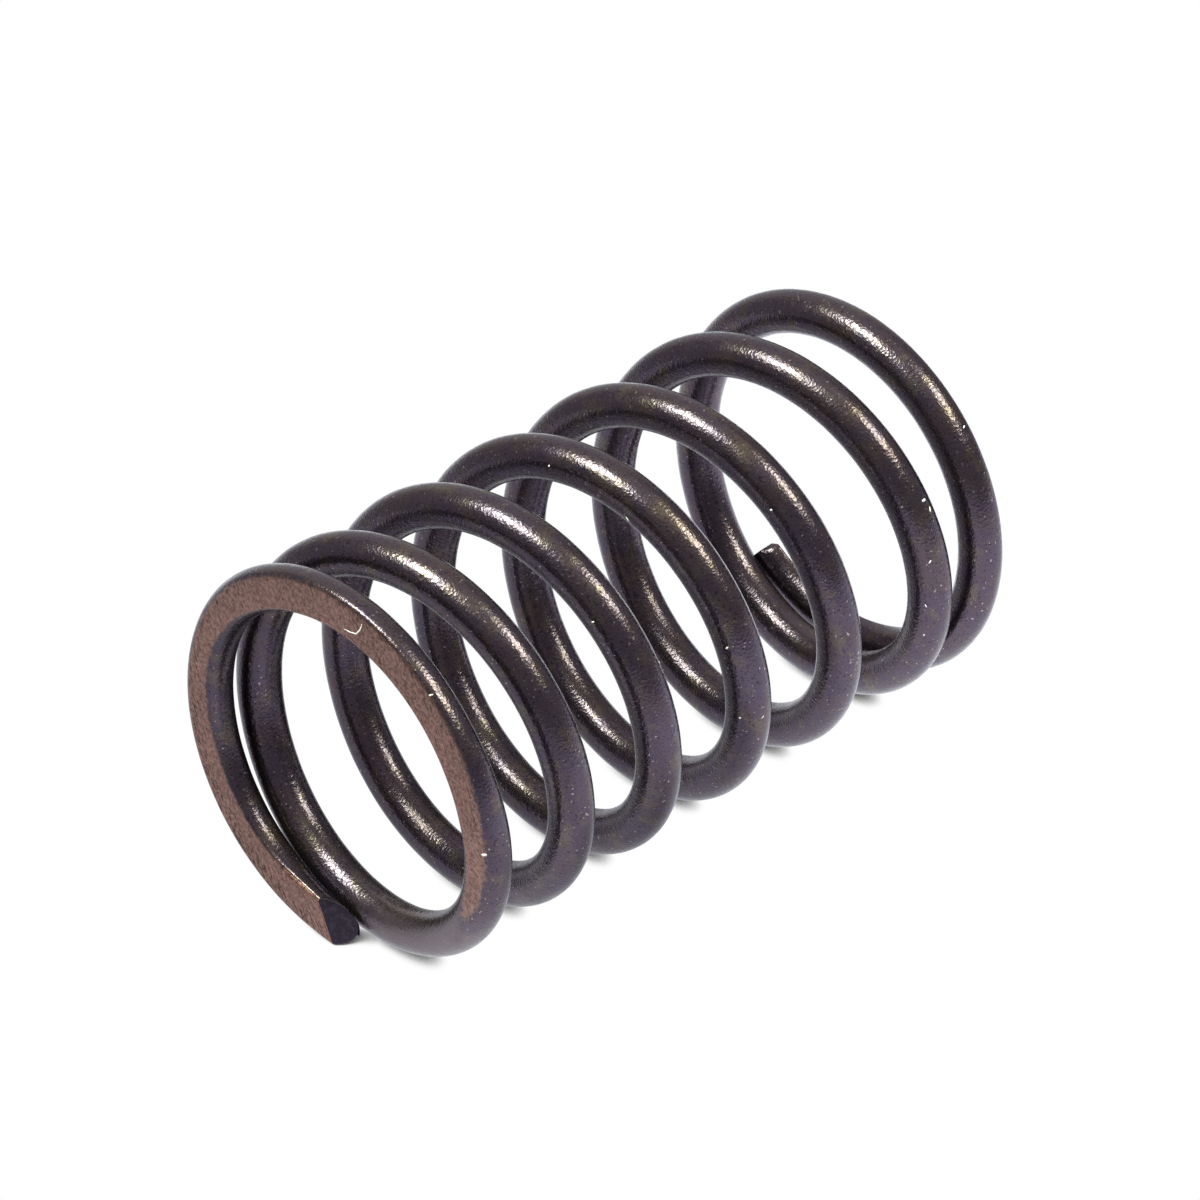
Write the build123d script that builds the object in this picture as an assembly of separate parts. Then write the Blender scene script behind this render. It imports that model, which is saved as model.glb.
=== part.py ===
"""Valve spring: a round-wire compression spring with closed and ground ends.

The axis is Z. The spring stands on its bottom ground face at z = 0, with the
axis through the origin, and the tip of the top end coil lies on +X.
Lengths are in millimetres and coil positions are in turns from the bottom tip.
"""

import os
from math import cos, radians, sin, tan, tau

from build123d import *

# Driving dimensions.
WIRE_DIA = 2.2
MEAN_DIA = 18.3
FREE_LENGTH = 35.1
TOTAL_TURNS = 7.1

# Closed end coils: flat turns, then the turns over which the pitch opens.
BOTTOM_FLAT_TURNS = 0.4
BOTTOM_OPEN_TURNS = 0.8
TOP_FLAT_TURNS = 0.56
TOP_OPEN_TURNS = 0.18

# Pitch of the working coils compared with the pitch at mid length.
BOTTOM_PITCH_RATIO = 1.05
TOP_PITCH_RATIO = 0.84

# Wire tips: how far they bend, the gap they leave and how they sit.
TIP_BEND_TURNS = 0.32
BOTTOM_TIP_GAP = 0.05
TOP_TIP_GAP = 0.05
BOTTOM_TIP_TUCK = 0.4
BOTTOM_COIL_FLARE = 0.2
TIP_CUT_ANGLE = 25.0

# The top end coil opens out and sags before its tip, and the tip comes in again.
TOP_COIL_FLARE = 0.6
TOP_FLARE_TURNS = (0.45, 0.15)
TOP_TIP_TUCK = 0.36
TOP_TUCK_TURNS = 0.12
TOP_COIL_SAG = 0.36
TOP_SAG_TURNS = (0.55, 0.25)
TOP_SAG_END_TURNS = 0.15

# Depth ground off the flat turns at each end.
BOTTOM_GRIND = 0.38
TOP_GRIND = 0.6

# The swept surface closes on a line this many degrees below the inside.
SEAM_ANGLE = 18.0

# The sweep runs in spans, so no one surface winds over itself.
SPANS_PER_TURN = 2
POINTS_PER_TURN = 24
STEPS_PER_TURN = 240


def ease(value, start, end):
    """Rise smoothly from 0 at start to 1 at end."""
    share = min(max((value - start) / (end - start), 0.0), 1.0)
    return share * share * (3.0 - 2.0 * share)


def pitch_shape(turn):
    """Pitch at a turn, where the pitch at mid length is 1."""
    opened = BOTTOM_FLAT_TURNS + BOTTOM_OPEN_TURNS
    closing = TOTAL_TURNS - TOP_FLAT_TURNS - TOP_OPEN_TURNS
    along = min(max((turn - opened) / (closing - opened), 0.0), 1.0)
    working = (
        BOTTOM_PITCH_RATIO * (1.0 - along) * (1.0 - 2.0 * along)
        + 4.0 * along * (1.0 - along)
        + TOP_PITCH_RATIO * along * (2.0 * along - 1.0)
    )
    rising = ease(turn, BOTTOM_FLAT_TURNS, opened)
    falling = ease(turn, closing, TOTAL_TURNS - TOP_FLAT_TURNS)
    return working * rising * (1.0 - falling)


def shape_rise(start, end):
    """Rise between two turns, where the pitch at mid length is 1."""
    count = max(2, round((end - start) * STEPS_PER_TURN))
    step = (end - start) / count
    return sum(pitch_shape(start + (index + 0.5) * step) for index in range(count)) * step


WIRE_RADIUS = WIRE_DIA / 2.0
BOTTOM_FLAT_HEIGHT = WIRE_RADIUS - BOTTOM_GRIND
TOP_FLAT_HEIGHT = FREE_LENGTH - WIRE_RADIUS + TOP_GRIND
MIDDLE_PITCH = (TOP_FLAT_HEIGHT - BOTTOM_FLAT_HEIGHT) / shape_rise(0.0, TOTAL_TURNS)

# Each tip moves along the axis until it clears the next coil by its gap.
BOTTOM_TIP_LIFT = MIDDLE_PITCH * shape_rise(0.0, 1.0) - WIRE_DIA - BOTTOM_TIP_GAP
TOP_TIP_DROP = (
    MIDDLE_PITCH * shape_rise(TOTAL_TURNS - 1.0, TOTAL_TURNS) - WIRE_DIA - TOP_TIP_GAP
)


def top_coil_flare(turn):
    """How far the top end coil stands out at a turn."""
    first, full = TOP_FLARE_TURNS
    flare = TOP_COIL_FLARE * ease(turn, TOTAL_TURNS - first, TOTAL_TURNS - full)
    return flare - TOP_TIP_TUCK * ease(turn, TOTAL_TURNS - TOP_TUCK_TURNS, TOTAL_TURNS)


def top_coil_sag(turn):
    """How far the top end coil sags below its ground face at a turn."""
    first, full = TOP_SAG_TURNS
    sag = TOP_COIL_SAG * ease(turn, TOTAL_TURNS - first, TOTAL_TURNS - full)
    return sag * (1.0 - ease(turn, TOTAL_TURNS - TOP_SAG_END_TURNS, TOTAL_TURNS))


def wire_points():
    """Points of the wire's centreline from the bottom tip to the top tip."""
    count = round(TOTAL_TURNS * POINTS_PER_TURN)
    step = TOTAL_TURNS / count
    height = BOTTOM_FLAT_HEIGHT
    points = []
    for index in range(count + 1):
        turn = index * step
        if index > 0:
            height += MIDDLE_PITCH * shape_rise(turn - step, turn)
        tip = 1.0 - ease(turn, 0.0, TIP_BEND_TURNS)
        top_tip = ease(turn, TOTAL_TURNS - TIP_BEND_TURNS, TOTAL_TURNS)
        flare = max(1.0 - 2.0 * turn / TOTAL_TURNS, 0.0) ** 2
        radius = MEAN_DIA / 2.0 + BOTTOM_COIL_FLARE * flare - BOTTOM_TIP_TUCK * tip
        radius += top_coil_flare(turn)
        angle = tau * (turn - TOTAL_TURNS)
        level = height + BOTTOM_TIP_LIFT * tip - TOP_TIP_DROP * top_tip - top_coil_sag(turn)
        points.append(Vector(radius * cos(angle), radius * sin(angle), level))
    return points


def wire_body():
    """The whole wire before grinding, swept along its centreline."""
    centreline = Edge.make_spline(wire_points())
    count = round(TOTAL_TURNS * SPANS_PER_TURN)
    path = Wire([centreline.trim(span / count, (span + 1) / count) for span in range(count)])
    inward = Vector(-(path @ 0).X, -(path @ 0).Y, 0).normalized()
    seam = inward * cos(radians(SEAM_ANGLE)) - Vector(0, 0, sin(radians(SEAM_ANGLE)))
    start = Plane(origin=path @ 0, x_dir=seam, z_dir=path % 0)
    return sweep(start * Circle(WIRE_RADIUS), path=path, is_frenet=True)


def tip_offcut():
    """Wedge that slants the top tip, which keeps its full length outside."""
    tip = wire_points()[-1]
    outside = tip.X + 1.2 * WIRE_RADIUS
    inside = tip.X - 1.5 * WIRE_RADIUS
    slope = tan(radians(TIP_CUT_ANGLE))
    past = WIRE_DIA / 20.0
    corners = [
        (outside, past),
        (outside, 0.2 * WIRE_RADIUS * slope),
        (inside, -2.5 * WIRE_RADIUS * slope),
        (inside, past),
    ]
    level = tip.Z - WIRE_RADIUS - TOP_TIP_GAP / 3.0
    outline = Pos(0, 0, level) * make_face(Polyline(*corners, close=True))
    return extrude(outline, amount=2.0 * WIRE_DIA, dir=(0, 0, 1))


def ground_ends():
    """Blocks that the grinding wheel takes off below and above the spring."""
    width = 2.0 * MEAN_DIA
    below = Box(width, width, width, align=(Align.CENTER, Align.CENTER, Align.MAX))
    above = Pos(0, 0, FREE_LENGTH) * Box(
        width, width, width, align=(Align.CENTER, Align.CENTER, Align.MIN)
    )
    return below, above


def valve_spring():
    """The finished spring: swept wire, slanted tip and two ground faces."""
    below, above = ground_ends()
    return wire_body() - tip_offcut() - below - above


def main():
    """Build the spring and write it as a STEP file."""
    os.makedirs("parts", exist_ok=True)
    spring = valve_spring()
    spring.label = "valve_spring"
    export_step(spring, "parts/valve_spring.step")


if __name__ == "__main__":
    main()
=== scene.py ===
"""Looks of a small-engine valve spring in dark oxide wire with two ground end faces.

The spring stands upright on its bottom face, in the CAD frame. In the photograph it
lies on its side, so the pale table stands beside it here and the camera is rolled.
Sizes in the classes are in millimetres, angles in degrees and coil places in turns
from the bottom tip. Meshes are written in metres.
"""

import logging
import math
from dataclasses import dataclass
from enum import Enum

import bpy
import numpy as np
from mathutils import Matrix, Vector, noise
from mathutils.bvhtree import BVHTree

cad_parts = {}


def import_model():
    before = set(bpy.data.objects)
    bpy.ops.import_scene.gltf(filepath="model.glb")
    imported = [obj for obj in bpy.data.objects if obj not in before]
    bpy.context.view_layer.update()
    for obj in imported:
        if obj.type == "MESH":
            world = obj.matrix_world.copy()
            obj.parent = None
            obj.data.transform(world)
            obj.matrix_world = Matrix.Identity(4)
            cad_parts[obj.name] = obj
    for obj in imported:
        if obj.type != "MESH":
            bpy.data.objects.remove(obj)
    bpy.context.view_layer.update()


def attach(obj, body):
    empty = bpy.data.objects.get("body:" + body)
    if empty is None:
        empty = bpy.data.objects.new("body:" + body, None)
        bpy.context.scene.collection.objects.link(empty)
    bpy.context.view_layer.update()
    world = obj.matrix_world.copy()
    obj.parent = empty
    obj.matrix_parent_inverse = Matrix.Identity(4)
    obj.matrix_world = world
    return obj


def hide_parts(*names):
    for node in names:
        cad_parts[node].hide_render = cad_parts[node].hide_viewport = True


LOG = logging.getLogger("valve_spring")
MM = 0.001
WHITE = (1.0, 1.0, 1.0, 1.0)

Items = bpy.types.bpy_prop_collection
Socket = bpy.types.NodeSocket
Colour = tuple[float, float, float, float]
Spot = tuple[float, float, float]
Span = tuple[float, float]
# Sideways places, heights and ground shares, each by ring and corner.
Layout = tuple[np.ndarray, np.ndarray, np.ndarray]


def ease(value: np.ndarray, start: float, end: float) -> np.ndarray:
    """Rise smoothly from 0 at start to 1 at end.

    Args:
        value: Places to evaluate.
        start: Place where the rise begins.
        end: Place where the rise is complete.

    Returns:
        The share of the rise at each place.
    """
    share = np.clip((value - start) / (end - start), 0.0, 1.0)
    return share * share * (3.0 - 2.0 * share)


def eased(value: float, span: Span) -> float:
    """Give how far one number has risen along a span, from 0 to 1."""
    return float(ease(np.array(value), *span))


def unit(vectors: np.ndarray) -> np.ndarray:
    """Scale each row to length 1."""
    return vectors / np.linalg.norm(vectors, axis=-1, keepdims=True)


def read_out(items: Items, name: str, width: int = 1, kind: type = np.int32) -> np.ndarray:
    """Read one property of all items of a mesh.

    Args:
        items: The mesh's corners, edges, faces or loops.
        name: Blender's name for the property.
        width: How many numbers each item has.
        kind: Kind of number.

    Returns:
        The numbers, with a row for each item where it has more than one.
    """
    values = np.zeros(len(items) * width, dtype=kind)
    items.foreach_get(name, values)
    return values.reshape(-1, width) if width > 1 else values


def set_in_scene(name: str, data: bpy.types.ID) -> bpy.types.Object:
    """Add an object with some data to the scene.

    Args:
        name: Name of the object.
        data: Its mesh, camera or lamp.

    Returns:
        The object.
    """
    made = bpy.data.objects.new(name, data)
    bpy.context.scene.collection.objects.link(made)
    return made


class Finish(Enum):
    """Finishes of the spring, in the order of its material slots."""

    OXIDE = 0
    GROUND = 1
    SHEARED = 2
    LINT = 3


@dataclass(frozen=True)
class Grain:
    """A cloudy pattern: patches for each millimetre, finer layers, and how strong each of those is."""

    per_mm: float
    detail: float = 2.0
    rough: float = 0.5


@dataclass(frozen=True)
class Ramp:
    """A smooth map of the values from low to high onto those from start to end."""

    low: float
    high: float
    start: float = 0.0
    end: float = 1.0


@dataclass(frozen=True)
class Coat:
    """A colour that covers what is under it in patches."""

    colour: Colour
    grain: Grain
    share: Ramp


class Graph:
    """A material with short calls for the nodes that the finishes use."""

    def __init__(self, name: str) -> None:
        """Start a material that holds one Principled shader.

        Args:
            name: Name of the material.
        """
        self.material = bpy.data.materials.new(name)
        self.material.use_nodes = True
        self.tree = self.material.node_tree
        self.shader = self.tree.nodes["Principled BSDF"]

    def put(self, socket: Socket, value: object) -> None:
        """Link a socket to another socket, or set its value.

        Args:
            socket: Input to fill.
            value: Output socket, number, colour or vector.
        """
        if isinstance(value, Socket):
            self.tree.links.new(value, socket)
        elif value is not None:
            socket.default_value = value

    def dress(self, **inputs: object) -> None:
        """Fill the shader's inputs, whose names are given with a low line for each space."""
        for name, value in inputs.items():
            self.put(self.shader.inputs[name.replace("_", " ")], value)

    def glow_only(self, glow: Socket) -> None:
        """Show a glow in place of the Principled shader."""
        self.tree.nodes.remove(self.shader)
        self.put(self.tree.nodes["Material Output"].inputs["Surface"], glow)

    def node(self, kind: str, settings: dict[str, object], inputs: dict[object, object]) -> bpy.types.Node:
        """Add a node.

        Args:
            kind: Blender's name for the node type.
            settings: Properties of the node.
            inputs: Values or sockets by input name or number.

        Returns:
            The new node.
        """
        made = self.tree.nodes.new(kind)
        for name, value in settings.items():
            setattr(made, name, value)
        for name, value in inputs.items():
            self.put(made.inputs[name], value)
        return made

    def vector(self, operation: str, inputs: dict[object, object]) -> bpy.types.Node:
        """Add a vector operation, by Blender's name for it."""
        return self.node("ShaderNodeVectorMath", {"operation": operation}, inputs)

    def place(self) -> Socket:
        """Give the point on the object in millimetres."""
        spot = self.node("ShaderNodeTexCoord", {}, {}).outputs["Object"]
        return self.vector("SCALE", {"Vector": spot, "Scale": 1.0 / MM}).outputs["Vector"]

    def apart(self, spot: Socket, place: Spot) -> Socket:
        """Give the distance in millimetres from a place."""
        return self.vector("DISTANCE", {0: spot, 1: place}).outputs["Value"]

    def reach(self, spot: Socket) -> Socket:
        """Give the distance of a place from the coil's axis."""
        level = self.vector("MULTIPLY", {0: spot, 1: (1.0, 1.0, 0.0)})
        return self.vector("LENGTH", {0: level.outputs["Vector"]}).outputs["Value"]

    def stretched(self, spot: Socket, turn: float, scale: Spot) -> Socket:
        """Turn a place about Z and scale it, so that a pattern on it runs in one direction.

        Args:
            spot: Place in millimetres.
            turn: Direction of the pattern's first axis from X.
            scale: Scale along the turned axes.

        Returns:
            The new place.
        """
        inputs = {"Vector": spot, "Angle": math.radians(-turn)}
        turned = self.node("ShaderNodeVectorRotate", {"rotation_type": "Z_AXIS"}, inputs)
        return self.vector("MULTIPLY", {0: turned.outputs["Vector"], 1: scale}).outputs["Vector"]

    def cloud(self, spot: Socket, grain: Grain) -> Socket:
        """Give a cloudy pattern from 0 to 1 about 0.5."""
        inputs = {"Vector": spot, "Scale": grain.per_mm, "Detail": grain.detail, "Roughness": grain.rough}
        return self.node("ShaderNodeTexNoise", {}, inputs).outputs["Fac"]

    def bowls(self, spot: Socket, per_mm: float, merging: float) -> Socket:
        """Give the depth pattern of many small overlapping dimples.

        Args:
            spot: Place in millimetres.
            per_mm: Dimples for each millimetre.
            merging: How softly neighbouring dimples run together.

        Returns:
            The height, which is 0 in the middle of each dimple.
        """
        inputs = {"Vector": spot, "Scale": per_mm, "Smoothness": merging}
        made = self.node("ShaderNodeTexVoronoi", {"feature": "SMOOTH_F1"}, inputs)
        return self.combine(made.outputs["Distance"], 2.0, "POWER")

    def spread(self, value: Socket, ramp: Ramp) -> Socket:
        """Map a value smoothly along a ramp.

        Args:
            value: Value to map.
            ramp: Where it starts and ends.

        Returns:
            The mapped value.
        """
        inputs = {
            "Value": value,
            "From Min": ramp.low,
            "From Max": ramp.high,
            "To Min": ramp.start,
            "To Max": ramp.end,
        }
        made = self.node("ShaderNodeMapRange", {"interpolation_type": "SMOOTHSTEP"}, inputs)
        return made.outputs["Result"]

    def patches(self, spot: Socket, grain: Grain, ramp: Ramp) -> Socket:
        """Give a cloudy pattern, mapped along a ramp."""
        return self.spread(self.cloud(spot, grain), ramp)

    def combine(self, first: object, second: object, kind: str = "ADD") -> Socket:
        """Combine two values by a Math operation, by Blender's name for it."""
        return self.node("ShaderNodeMath", {"operation": kind}, {0: first, 1: second}).outputs["Value"]

    def blend(self, share: object, first: object, second: object) -> Socket:
        """Mix two colours.

        Args:
            share: Share of the second colour.
            first: First colour.
            second: Second colour.

        Returns:
            The mixed colour.
        """
        # The Mix node has its colours' inputs and output at these numbers, after those for other kinds.
        return self.node("ShaderNodeMix", {"data_type": "RGBA"}, {0: share, 6: first, 7: second}).outputs[2]

    def coat(self, spot: Socket, under: object, coat: Coat) -> Socket:
        """Lay a coat over a colour."""
        return self.blend(self.patches(spot, coat.grain, coat.share), under, coat.colour)

    def relief(self, height: Socket, depth: float, under: Socket | None = None) -> Socket:
        """Turn a height pattern into a bumpy normal.

        Args:
            height: Pattern from 0 to 1.
            depth: Height of the pattern in millimetres.
            under: Normal that this relief is laid on.

        Returns:
            The new normal.
        """
        inputs = {"Strength": 1.0, "Distance": depth * MM, "Height": height, "Normal": under}
        return self.node("ShaderNodeBump", {}, inputs).outputs["Normal"]

    def tag(self, name: str) -> Socket:
        """Read a number that the mesh holds at its corners."""
        return self.node("ShaderNodeAttribute", {"attribute_name": name}, {}).outputs["Fac"]


@dataclass(frozen=True)
class WornEdge:
    """The ragged line between ground steel and oxide, which both finishes follow."""

    tag: str = "ground_share"
    grain: Grain = Grain(4.0, 3.0, 0.6)
    ragged: Ramp = Ramp(0.3, 0.7, -0.3, 0.3)
    turn_over: Ramp = Ramp(0.2, 0.8)

    def ground(self, g: Graph, spot: Socket) -> Socket:
        """Give the share of ground steel at a place."""
        ragged = g.patches(spot, self.grain, self.ragged)
        return g.spread(g.combine(g.tag(self.tag), ragged), self.turn_over)


@dataclass(frozen=True)
class OxideSkin:
    """Brown-black oxide on shot-peened spring wire."""

    dark: Colour = (0.067, 0.052, 0.073, 1.0)
    brown: Coat = Coat((0.074, 0.0545, 0.0625, 1.0), Grain(0.55, 4.0, 0.6), Ramp(0.38, 0.68))
    straw: Coat = Coat((0.11, 0.09, 0.065, 1.0), Grain(0.9, 3.0, 0.6), Ramp(0.5, 0.7, 0.0, 0.5))
    pits: Coat = Coat((0.024, 0.018, 0.025, 1.0), Grain(8.5, 1.0), Ramp(0.26, 0.44, 0.8, 0.0))
    motes: Coat = Coat((0.32, 0.28, 0.27, 1.0), Grain(6.0, 1.0), Ramp(0.7, 0.76, 0.0, 0.8))
    worn: Colour = (0.17, 0.105, 0.09, 1.0)
    # Painted reflection: a paler patch on the outer side of the top end coil, near turn 6.2, stands in for
    # a brighter reflection there.
    painted_sheen: Colour = (0.135, 0.11, 0.115, 1.0)
    sheen_spot: Spot = (7.7, 5.2, 34.0)
    sheen_span: Ramp = Ramp(2.6, 6.4, 0.75, 0.0)
    sheen_grain: Grain = Grain(0.8, 3.0, 0.6)
    sheen_waves: Ramp = Ramp(0.3, 0.7, -1.0, 1.0)
    gloss_grain: Grain = Grain(1.7, 5.0, 0.7)
    roughness: Ramp = Ramp(0.3, 0.7, 0.2, 0.29)
    peen_per_mm: float = 7.5
    peen_merging: float = 0.25
    peen_depth: float = 0.011
    peen_left: Ramp = Ramp(0.0, 0.5, 1.0, 0.2)
    fine_grain: Grain = Grain(13.0, 2.0, 0.6)
    fine_depth: float = 0.006
    edge_tint: Colour = (0.76, 0.76, 0.76, 1.0)
    metallic: float = 0.93
    edge: WornEdge = WornEdge()

    def painted_sheen_share(self, g: Graph, spot: Socket) -> Socket:
        """Give the share of the paler patch of painted reflection, which has a wavy edge."""
        waves = g.patches(spot, self.sheen_grain, self.sheen_waves)
        return g.spread(g.combine(g.apart(spot, self.sheen_spot), waves), self.sheen_span)

    def material(self) -> bpy.types.Material:
        """Make the oxide material.

        Returns:
            The material.
        """
        g = Graph("oxide_skin")
        spot = g.place()
        tone = self.dark
        for coat in (self.brown, self.straw, self.pits, self.motes):
            tone = g.coat(spot, tone, coat)
        # Painted reflection: lighten the patch on the top end coil.
        tone = g.blend(self.painted_sheen_share(g, spot), tone, self.painted_sheen)
        rubbed = self.edge.ground(g, spot)
        peened = g.bowls(spot, self.peen_per_mm, self.peen_merging)
        peened = g.combine(peened, g.spread(rubbed, self.peen_left), "MULTIPLY")
        hollows = g.relief(peened, self.peen_depth)
        g.dress(
            Base_Color=g.blend(rubbed, tone, self.worn),
            Metallic=self.metallic,
            Specular_Tint=self.edge_tint,
            Roughness=g.patches(spot, self.gloss_grain, self.roughness),
            Normal=g.relief(g.cloud(spot, self.fine_grain), self.fine_depth, hollows),
        )
        return g.material


@dataclass(frozen=True)
class GroundSteel:
    """Brown tempered steel with the grinding wheel's marks."""

    ruddy: Colour = (0.136, 0.065, 0.054, 1.0)
    face: Coat = Coat((0.206, 0.107, 0.087, 1.0), Grain(0.5, 3.0), Ramp(0.35, 0.65))
    pale: Coat = Coat((0.34, 0.204, 0.163, 1.0), Grain(4.5, 3.0, 0.7), Ramp(0.34, 0.64))
    pale_share: float = 0.6
    pits: Coat = Coat((0.045, 0.028, 0.024, 1.0), Grain(8.0, 1.0), Ramp(0.3, 0.4, 0.7, 0.0))
    skin: Colour = (0.11, 0.086, 0.078, 1.0)
    mark_angle: float = 32.0
    mark_stretch: Spot = (1.0, 5.0, 1.0)
    mark_grain: Grain = Grain(2.2, 3.0, 0.65)
    mark_depth: float = 0.012
    mark_gloss: Ramp = Ramp(0.3, 0.7, 0.36, 0.6)
    mark_pits: Ramp = Ramp(0.59, 0.68)
    rim: Ramp = Ramp(9.3, 10.1, 0.0, 0.08)
    fine_grain: Grain = Grain(5.0, 3.0, 0.6)
    fine_depth: float = 0.004
    least_roughness: float = 0.25
    edge: WornEdge = WornEdge()

    def material(self) -> bpy.types.Material:
        """Make the ground-face material.

        Returns:
            The material.
        """
        g = Graph("ground_steel")
        spot = g.place()
        tone = g.coat(spot, self.ruddy, self.face)
        tone = g.blend(self.pale_share, tone, g.coat(spot, self.ruddy, self.pale))
        tone = g.coat(spot, tone, self.pits)
        along = g.stretched(spot, self.mark_angle, self.mark_stretch)
        marks = g.cloud(along, self.mark_grain)
        deep = g.combine(marks, g.spread(g.reach(spot), self.rim))
        tone = g.blend(g.spread(deep, self.mark_pits), tone, self.pits.colour)
        kept = self.edge.ground(g, spot)
        matt = g.combine(kept, g.spread(marks, self.mark_gloss), "MULTIPLY")
        scored = g.relief(marks, self.mark_depth)
        g.dress(
            Base_Color=g.blend(kept, self.skin, tone),
            Metallic=1.0,
            Roughness=g.combine(matt, self.least_roughness, "MAXIMUM"),
            Normal=g.relief(g.cloud(along, self.fine_grain), self.fine_depth, scored),
        )
        return g.material


@dataclass(frozen=True)
class ShearedSteel:
    """Torn steel where the wire was cut off, very dark: partly its own dull colour, partly painted shade
    where the top tip's cut end and nose sit in shadow.
    """

    face: Colour = (0.032, 0.026, 0.038, 1.0)
    smear: Colour = (0.055, 0.045, 0.056, 1.0)
    smear_share: Ramp = Ramp(0.45, 0.7)
    torn_grain: Grain = Grain(3.0, 4.0, 0.65)
    torn_depth: float = 0.03
    roughness: float = 0.42

    def material(self) -> bpy.types.Material:
        """Make the cut-end material.

        Returns:
            The material.
        """
        g = Graph("sheared_steel")
        torn = g.cloud(g.place(), self.torn_grain)
        g.dress(
            Base_Color=g.blend(g.spread(torn, self.smear_share), self.face, self.smear),
            Metallic=1.0,
            Roughness=self.roughness,
            Normal=g.relief(torn, self.torn_depth),
        )
        return g.material


@dataclass(frozen=True)
class Lint:
    """Pale dust that sits on the wire."""

    tone: Colour = (0.92, 0.91, 0.89, 1.0)
    grey: Colour = (0.8, 0.78, 0.76, 1.0)
    tone_grain: Grain = Grain(6.0)
    fluff_grain: Grain = Grain(12.0)
    fluff_depth: float = 0.01
    roughness: float = 0.9

    def material(self) -> bpy.types.Material:
        """Make the dust material.

        Returns:
            The material.
        """
        g = Graph("lint")
        spot = g.place()
        g.dress(
            Base_Color=g.blend(g.cloud(spot, self.tone_grain), self.grey, self.tone),
            Roughness=self.roughness,
            Normal=g.relief(g.cloud(spot, self.fluff_grain), self.fluff_depth),
        )
        return g.material


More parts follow.
